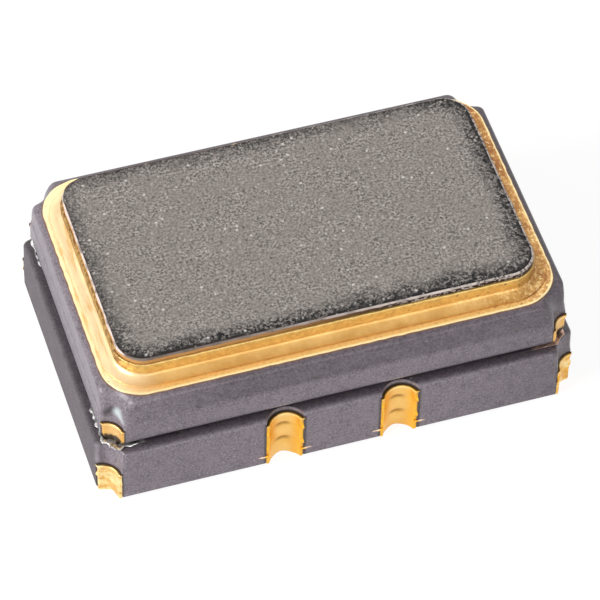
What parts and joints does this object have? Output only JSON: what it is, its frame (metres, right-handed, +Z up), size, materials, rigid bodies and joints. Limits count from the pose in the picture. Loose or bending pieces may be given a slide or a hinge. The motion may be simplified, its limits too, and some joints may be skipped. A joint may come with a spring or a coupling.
{
  "type": "crystal oscillator",
  "caption": "Surface-mount oscillator of stacked dark ceramic decks with gold-plated notch terminals, a gold seal ring and a flat grey welded lid over a quartz blank.",
  "frame": {"origin": "centre of the underside, on the plane of the solder terminals", "axes": "+X along the long side, +Y along the short side away from the pictured front, +Z up through the lid"},
  "size_m": [0.005, 0.0032, 0.0016],
  "materials": {
    "ceramic": "matte, fine grained, purple grey",
    "gold": "satin gold plating",
    "lid_metal": "matte grained nickel plate",
    "solder": "dull tin solder",
    "quartz": "lapped quartz",
    "electrode": "thin evaporated metal film",
    "adhesive": "silver-filled adhesive",
    "silicon": "polished silicon",
    "resin": "dark underfill resin"
  },
  "bodies": {
    "root": {"lower_ceramic": "ceramic", "corner_terminal_front_left": "gold", "corner_terminal_front_right": "gold", "corner_terminal_back_left": "gold", "corner_terminal_back_right": "gold", "side_terminal_front_left": "gold", "side_terminal_front_right": "gold", "side_terminal_back_left": "gold", "side_terminal_back_right": "gold", "chip_lands": "gold", "chip_bumps": "gold", "chip_underfill": "resin", "oscillator_chip": "silicon", "deck_land_front_left": "gold", "deck_land_front_right": "gold", "deck_land_back_left": "gold", "deck_land_back_right": "gold", "solder_joint_front_left": "solder", "solder_joint_front_right": "solder", "solder_joint_back_left": "solder", "solder_joint_back_right": "solder", "package_terminal_front_left": "gold", "package_terminal_front_right": "gold", "package_terminal_back_left": "gold", "package_terminal_back_right": "gold", "upper_ceramic": "ceramic", "seal_metallisation": "gold", "braze_fillet": "gold", "seal_ring": "gold", "lid": "lid_metal", "crystal_pad_front": "gold", "crystal_pad_back": "gold", "adhesive_dot_front": "adhesive", "adhesive_dot_back": "adhesive", "bottom_electrode": "electrode", "quartz_blank": "quartz", "top_electrode": "electrode"}
  },
  "joints": []
}
